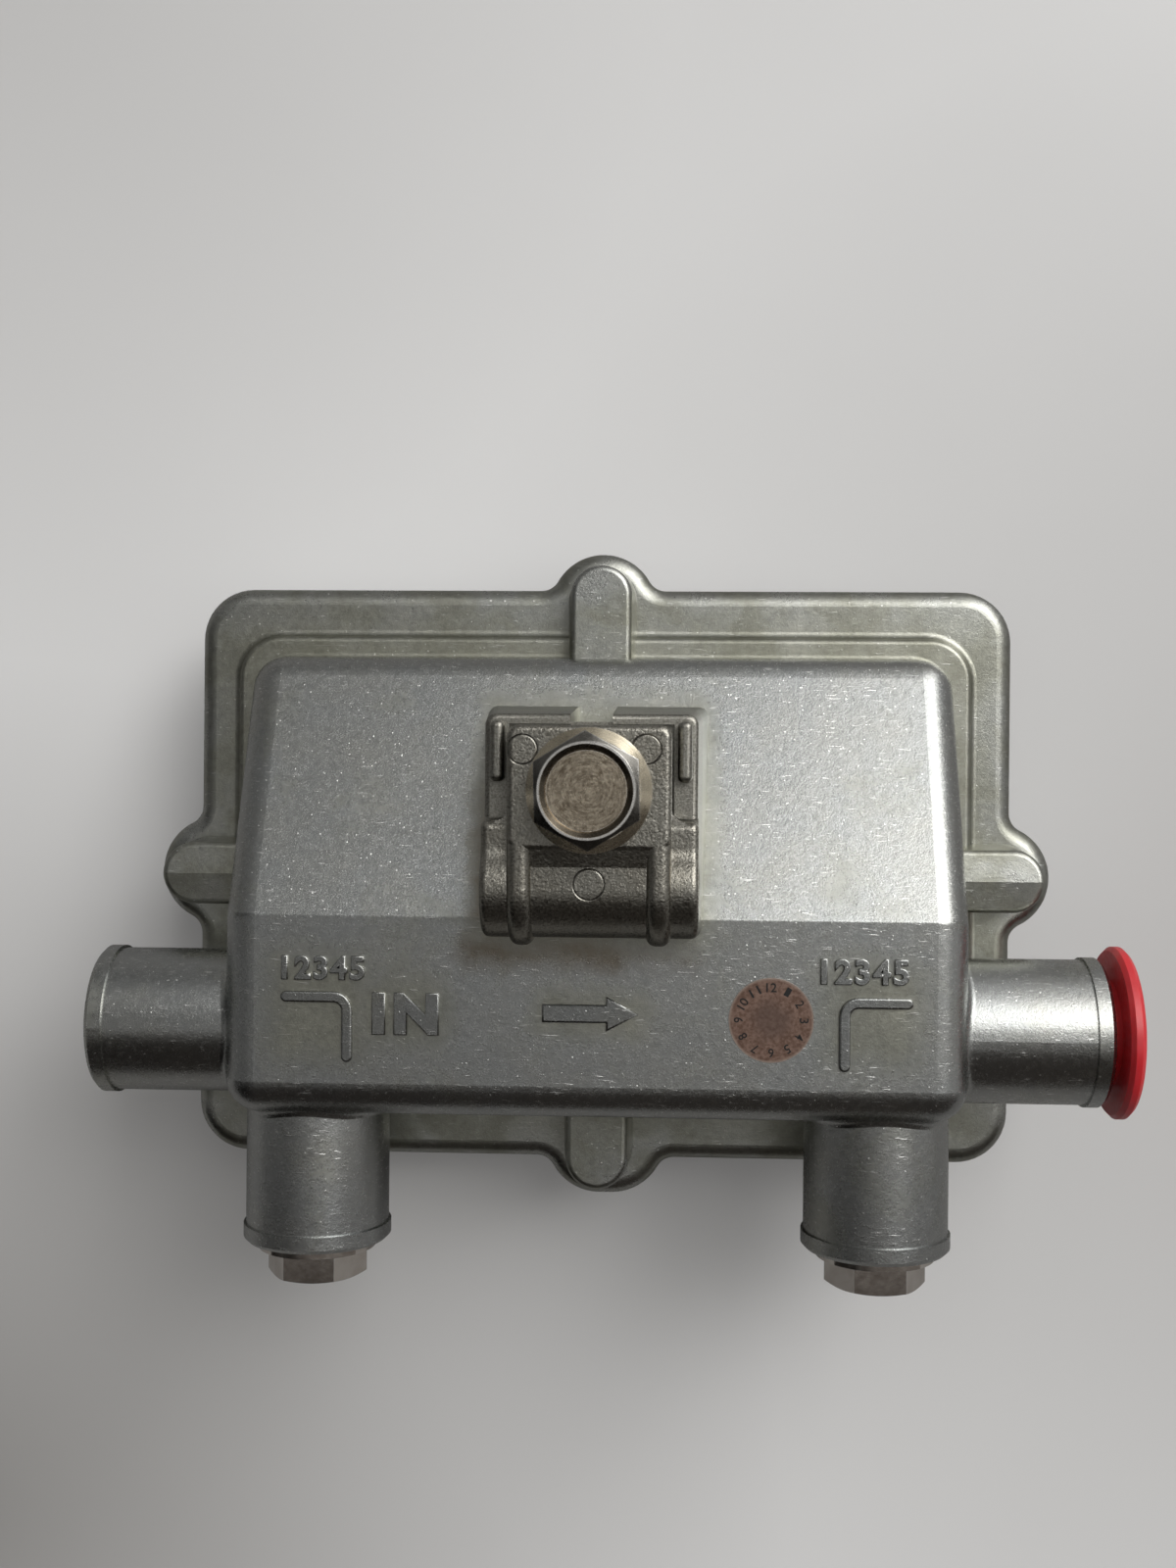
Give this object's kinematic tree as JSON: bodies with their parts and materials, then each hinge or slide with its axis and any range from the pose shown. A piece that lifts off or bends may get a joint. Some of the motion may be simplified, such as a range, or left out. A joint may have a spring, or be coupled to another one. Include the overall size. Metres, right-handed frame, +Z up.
{
  "type": "cable tap",
  "caption": "Outdoor line tap for coaxial cable: die-cast box with sloped back, cable ports, capped and plugged, and a bolted strand clamp.",
  "frame": {"origin": "under the middle of the overall box, on the surface that the tap lies on with its clamp up", "axes": "+X from the in port to the capped out port, +Y from the lower ports to the shallow edge, +Z up through the clamp bolt"},
  "size_m": [0.1494, 0.1086, 0.0795],
  "materials": {
    "zinc_steel": "zinc plated",
    "bare_brass": "bright",
    "copper_wire": "enamelled",
    "ferrite": "matt",
    "board_green": "solder mask",
    "clamp_bolt": "nickel plated, brushed",
    "cast_jaw": "dark sand-textured casting",
    "cast_plate": "bright die cast",
    "cast_body": "bright die cast",
    "capacitor_body": "coated",
    "black_rubber": "matt",
    "red_cap": "soft, slightly clear",
    "nickel": "nickel plated",
    "metal_braid": "woven",
    "copper_label": "metallic film",
    "white_insulator": "moulded"
  },
  "bodies": {
    "tap": {"board_screw_1": "zinc_steel", "board_screw_2": "zinc_steel", "board_screw_3": "zinc_steel", "board_screw_4": "zinc_steel", "board_socket_left": "bare_brass", "board_socket_right": "bare_brass", "choke_coil": "copper_wire", "choke_core": "ferrite", "circuit_board": "board_green", "coupler_core_1": "ferrite", "coupler_core_2": "ferrite", "coupler_core_3": "ferrite", "cover_bolt_back": "zinc_steel", "cover_bolt_front": "zinc_steel", "cover_bolt_left": "zinc_steel", "cover_bolt_right": "zinc_steel", "face_plate": "cast_plate", "housing": "cast_body", "line_capacitor_left": "capacitor_body", "line_capacitor_right": "capacitor_body", "radio_gasket": "metal_braid", "round_label": "copper_label", "seizure_block_left": "white_insulator", "seizure_block_right": "white_insulator", "seizure_terminal_left": "bare_brass", "seizure_terminal_right": "bare_brass", "tap_contact_1": "bare_brass", "tap_contact_2": "bare_brass", "tap_contact_3": "bare_brass", "tap_contact_4": "bare_brass", "tap_insulator_1": "white_insulator", "tap_insulator_2": "white_insulator", "tap_insulator_3": "white_insulator", "tap_insulator_4": "white_insulator", "tap_port_1": "nickel", "tap_port_2": "nickel", "tap_port_3": "nickel", "tap_port_4": "nickel", "weather_gasket": "black_rubber"},
    "clamp_jaw": {"clamp_jaw": "cast_jaw"},
    "clamp_bolt": {"clamp_bolt": "clamp_bolt"},
    "port_cap": {"port_cap": "red_cap"},
    "plug_ring_left": {"plug_ring_left": "black_rubber"},
    "port_plug_left": {"port_plug_left": "nickel"},
    "seizure_shoe_left": {"seizure_shoe_left": "bare_brass"},
    "seizure_screw_left": {"seizure_screw_left": "zinc_steel"},
    "plug_ring_right": {"plug_ring_right": "black_rubber"},
    "port_plug_right": {"port_plug_right": "nickel"},
    "seizure_shoe_right": {"seizure_shoe_right": "bare_brass"},
    "seizure_screw_right": {"seizure_screw_right": "zinc_steel"}
  },
  "joints": [
    {"name": "clamp_bolt_travel", "type": "slide", "parent": "tap", "child": "clamp_jaw", "axis": [0, 0, 1], "range_m": [0, 0.00705]},
    {"name": "clamp_bolt_turn", "type": "hinge", "parent": "clamp_jaw", "child": "clamp_bolt", "pos_m": [-0.0018, 0.0174, 0.071], "axis": [0, 0, 1], "range_deg": [0, 1800]},
    {"name": "port_plug_left_travel", "type": "slide", "parent": "tap", "child": "plug_ring_left", "axis": [0, -1, 0], "range_m": [0, 0.01005]},
    {"name": "port_plug_left_turn", "type": "hinge", "parent": "plug_ring_left", "child": "port_plug_left", "pos_m": [-0.0428, -0.049, 0.0393], "axis": [0, -1, 0], "range_deg": [0, 3420]},
    {"name": "seizure_screw_left_travel", "type": "slide", "parent": "tap", "child": "seizure_shoe_left", "axis": [0, 0, -1], "range_m": [0, 0.0028]},
    {"name": "seizure_screw_left_turn", "type": "hinge", "parent": "seizure_shoe_left", "child": "seizure_screw_left", "pos_m": [-0.0428, -0.0172, 0.0312], "axis": [0, 0, -1], "range_deg": [0, 1440]},
    {"name": "port_plug_right_travel", "type": "slide", "parent": "tap", "child": "plug_ring_right", "axis": [0, -1, 0], "range_m": [0, 0.01005]},
    {"name": "port_plug_right_turn", "type": "hinge", "parent": "plug_ring_right", "child": "port_plug_right", "pos_m": [0.0392, -0.049, 0.0393], "axis": [0, -1, 0], "range_deg": [0, 3420]},
    {"name": "seizure_screw_right_travel", "type": "slide", "parent": "tap", "child": "seizure_shoe_right", "axis": [0, 0, -1], "range_m": [0, 0.0028]},
    {"name": "seizure_screw_right_turn", "type": "hinge", "parent": "seizure_shoe_right", "child": "seizure_screw_right", "pos_m": [0.0392, -0.0172, 0.0312], "axis": [0, 0, -1], "range_deg": [0, 1440]},
    {"name": "port_cap_pull", "type": "slide", "parent": "tap", "child": "port_cap", "axis": [1, 0, 0], "range_m": [0, 0.0125]}
  ],
  "couplings": [
    {"joint": "clamp_bolt_turn", "follows": "clamp_bolt_travel", "rad_per_m": 4453},
    {"joint": "port_plug_left_turn", "follows": "port_plug_left_travel", "rad_per_m": 5936.9},
    {"joint": "seizure_screw_left_turn", "follows": "seizure_screw_left_travel", "rad_per_m": 8976},
    {"joint": "port_plug_right_turn", "follows": "port_plug_right_travel", "rad_per_m": 5936.9},
    {"joint": "seizure_screw_right_turn", "follows": "seizure_screw_right_travel", "rad_per_m": 8976}
  ]
}
